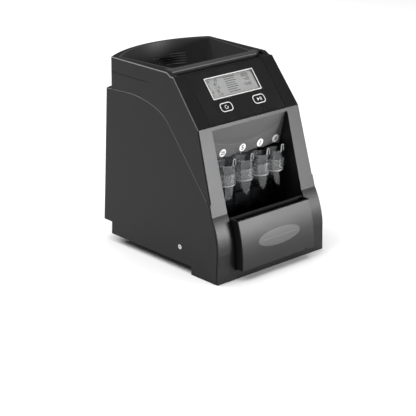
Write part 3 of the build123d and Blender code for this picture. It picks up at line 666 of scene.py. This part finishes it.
keys = {
    "left": {"x": -27.0, "body": "left_button"},
    "right": {"x": 27.0, "body": "right_button"},
    "along": 19.9, "halfWide": 9.9, "halfTall": 6.1, "radius": 4.8, "line": 1.15, "gap": 0.15,
    "lowLift": 0.74, "highLift": 0.80,
}


def arcStrip(radius, thick, start, stop, count=14):
    # flat strip along part of a circle: outer arc from start to stop in degrees, inner arc back
    angle = np.linspace(math.radians(start), math.radians(stop), count)
    outer = np.stack([np.cos(angle), np.sin(angle)], -1) * (radius + thick / 2)
    inner = np.stack([np.cos(angle), np.sin(angle)], -1) * (radius - thick / 2)
    return np.concatenate([outer, inner[::-1]])


def placeKeys():
    # ring just inside each key's edge, and its sign: an open circle with an arrow head, or play and pause
    signs = {
        "left": [arcStrip(2.3, 0.75, 60, 360), np.array([(2.35, -1.3), (3.5, 0.5), (1.2, 0.5)])],
        "right": [np.array([(-3.0, -2.2), (0.6, 0.0), (-3.0, 2.2)]),
                  np.array([(1.5, -2.1), (2.4, -2.1), (2.4, 2.1), (1.5, 2.1)]),
                  np.array([(3.2, -2.1), (4.1, -2.1), (4.1, 2.1), (3.2, 2.1)])],
    }
    for side in ("left", "right"):
        key = keys[side]
        centre = np.array((key["x"], keys["along"]))
        size = np.array((keys["halfWide"], keys["halfTall"], keys["radius"])) - keys["gap"]
        outer = roundedLoop(*size) + centre
        inner = roundedLoop(*(size - keys["line"])) + centre
        lifts = (keys["lowLift"], keys["highLift"])
        flatRing(side + "KeyRing", outer, inner, *lifts, onPanel, key["body"], "printWhite", "label")
        loops = [np.asarray(shape) + centre for shape in signs[side]]
        flatPlates(side + "KeySign", loops, *lifts, onPanel, key["body"], "printWhite", "label")


labels = {
    "centres": {"25": -35.2, "5": -2.4, "1": 27.2, "10": 53.8},
    "height": 141.6, "lift": 0.36, "sizes": {1: 8.6, 2: 7.0}, "thick": 0.03, "bold": 0.022,
    "topY": -64.4, "topZ": 176.9, "footY": -54.4, "footZ": 133.6,
}


def onHood(x, up, lift):
    # label line plus up times the wall's unit vector plus lift times its unit normal (all mm)
    run = labels["topY"] - labels["footY"]
    rise = labels["topZ"] - labels["footZ"]
    length = math.hypot(run, rise)
    base = (labels["height"] - labels["footZ"]) / rise
    y = labels["footY"] + run * base + run / length * up - rise / length * lift
    z = labels["height"] + rise / length * up + run / length * lift
    return np.stack(np.broadcast_arrays(x, y, z), -1) * mm


def numeral(name, text, size, carry, shift, body, finishName):
    # built-in letter shapes turned into a flat mesh, centred on their own box, then carried onto a face
    curve = bpy.data.curves.new(name + "Curve", "FONT")
    curve.body = text
    curve.size = size
    curve.align_x = "CENTER"
    curve.align_y = "CENTER"
    curve.extrude = labels["thick"]
    curve.offset = size * labels["bold"]
    holder = bpy.data.objects.new(name + "Holder", curve)
    bpy.context.scene.collection.objects.link(holder)
    bpy.context.view_layer.update()
    shaped = holder.evaluated_get(bpy.context.evaluated_depsgraph_get())
    mesh = bpy.data.meshes.new_from_object(shaped)
    flat = np.zeros(len(mesh.vertices) * 3)
    mesh.vertices.foreach_get("co", flat)
    flat = flat.reshape(-1, 3)
    flat[:, 0] -= (flat[:, 0].max() + flat[:, 0].min()) / 2
    flat[:, 1] -= (flat[:, 1].max() + flat[:, 1].min()) / 2
    placed = carry(flat[:, 0] + shift[0], flat[:, 1] + shift[1], flat[:, 2] + shift[2])
    faces = [list(face.vertices) for face in mesh.polygons]
    bpy.data.objects.remove(holder)
    bpy.data.meshes.remove(mesh)
    return newPiece(name, placed, faces, body, finishName)


def placeLabels():
    # one number in the middle of each round label
    for text, x in labels["centres"].items():
        numeral("labelNumber" + text, text, labels["sizes"][len(text)], onHood, (x, 0.0, labels["lift"]),
                "housing", "printDark")


badge = {"x": 2.0, "z": 44.0, "halfWide": 25.0, "thick": 0.7, "dashes": 13, "reach": 1.9, "lean": 0.3,
         "lowLift": -0.02, "highLift": 0.05}
# top, middle and foot of the drawer's bowed front, each as y and z in mm
drawerBow = ((-110.2, 74.6), (-118.1, 44.0), (-120.0, 14.0))


def drawerCurve(z):
    # y of the drawer's bowed front at a height: circle through its top, middle and foot (mm)
    (topY, topZ), (midY, midZ), (footY, footZ) = drawerBow
    a = np.array([[2 * (midY - topY), 2 * (midZ - topZ)], [2 * (footY - topY), 2 * (footZ - topZ)]])
    topPower = topY ** 2 + topZ ** 2
    b = np.array([midY ** 2 + midZ ** 2 - topPower, footY ** 2 + footZ ** 2 - topPower])
    cy, cz = np.linalg.solve(a, b)
    radius = math.hypot(topY - cy, topZ - cz)
    return cy - np.sqrt(radius ** 2 - (z - cz) ** 2)


def onDrawer(x, z, lift):
    # the bow's y at this height, less the lift (all mm)
    return np.stack(np.broadcast_arrays(x, drawerCurve(z) - lift, z), -1) * mm


def placeBadge():
    # a row of even leaning dashes across the oval plate
    low = badge["z"] - badge["thick"] / 2
    high = badge["z"] + badge["thick"] / 2
    reach = badge["reach"]
    lean = badge["lean"]
    places = np.linspace(badge["x"] - badge["halfWide"], badge["x"] + badge["halfWide"], badge["dashes"])
    shapes = [[(x - reach, low), (x + reach, low), (x + reach + lean, high), (x - reach + lean, high)]
              for x in places]
    flatPlates("badgeDashes", shapes, badge["lowLift"], badge["highLift"], onDrawer, "drawer",
               "printPale", "label")


# faint level marks on the rear wall of the hopper
levelMarks = {
    "left": -2.0, "right": 46.0, "thick": 0.5, "steps": 12, "lowLift": 0.02, "highLift": 0.08,
    # height of each mark in mm and its length as a share of the full width
    "rows": [(222.5, 0.45), (219.3, 1.0), (216.1, 0.9), (212.9, 0.8), (209.7, 0.55)],
}
# hopper's rear wall in mm: lowest height, rise, and radius and centre with their change over that rise
hopperBack = {"foot": 203.0, "rise": 39.0, "radius": 112.2, "radiusChange": 4.76,
              "centre": -3.1, "centreChange": -0.36}


def onHopperBack(x, z, lift):
    # rear wall: circle in plan whose radius and centre change evenly with height (mm)
    share = (z - hopperBack["foot"]) / hopperBack["rise"]
    radius = hopperBack["radius"] + hopperBack["radiusChange"] * share - lift
    centre = hopperBack["centre"] + hopperBack["centreChange"] * share
    return np.stack(np.broadcast_arrays(x, centre + np.sqrt(radius ** 2 - x ** 2), z), -1) * mm


def placeLevelMarks():
    # each mark is a strip bent along the wall: lower edge from right to left, upper edge back
    loops = []
    width = levelMarks["right"] - levelMarks["left"]
    for z, share in levelMarks["rows"]:
        x = np.linspace(levelMarks["right"], levelMarks["right"] - width * share, levelMarks["steps"])
        low = np.stack([x, np.full_like(x, z - levelMarks["thick"] / 2)], -1)
        high = np.stack([x[::-1], np.full_like(x, z + levelMarks["thick"] / 2)], -1)
        loops.append(np.concatenate([low, high]))
    flatPlates("levelMarks", loops, levelMarks["lowLift"], levelMarks["highLift"], onHopperBack,
               "housing", "printFaint", "hopper")


placeCamera()
placeLights()
print("stage: camera and lights placed")
placeDisplay()
placeReadout()
placeKeys()
placeLabels()
placeBadge()
placeLevelMarks()
print("stage: printed details placed")


floorLook = {"reach": 40.0, "drift": 3.0, "dark": 0.99, "pale": 1.01, "rough": 0.6, "roughSpread": 0.05}


def layFloor():
    # one square, plain and pale
    mesh = bpy.data.meshes.new("studioFloor")
    reach = floorLook["reach"]
    corners = [(-reach, -reach, 0), (reach, -reach, 0), (reach, reach, 0), (-reach, reach, 0)]
    mesh.from_pydata(corners, [], [(0, 1, 2, 3)])
    floor = bpy.data.objects.new("studioFloor", mesh)
    bpy.context.scene.collection.objects.link(floor)
    finish = Finish("floorPale")
    drift = finish.noise(floorLook["drift"], 2.0)
    tone = finish.blendTone(drift, shade(studio["floorTone"], floorLook["dark"]),
                            shade(studio["floorTone"], floorLook["pale"]))
    rough = floorLook["rough"] + drift * floorLook["roughSpread"]
    floor.data.materials.append(finish.surface(**{"Base Color": tone, "Roughness": rough}))


layFloor()
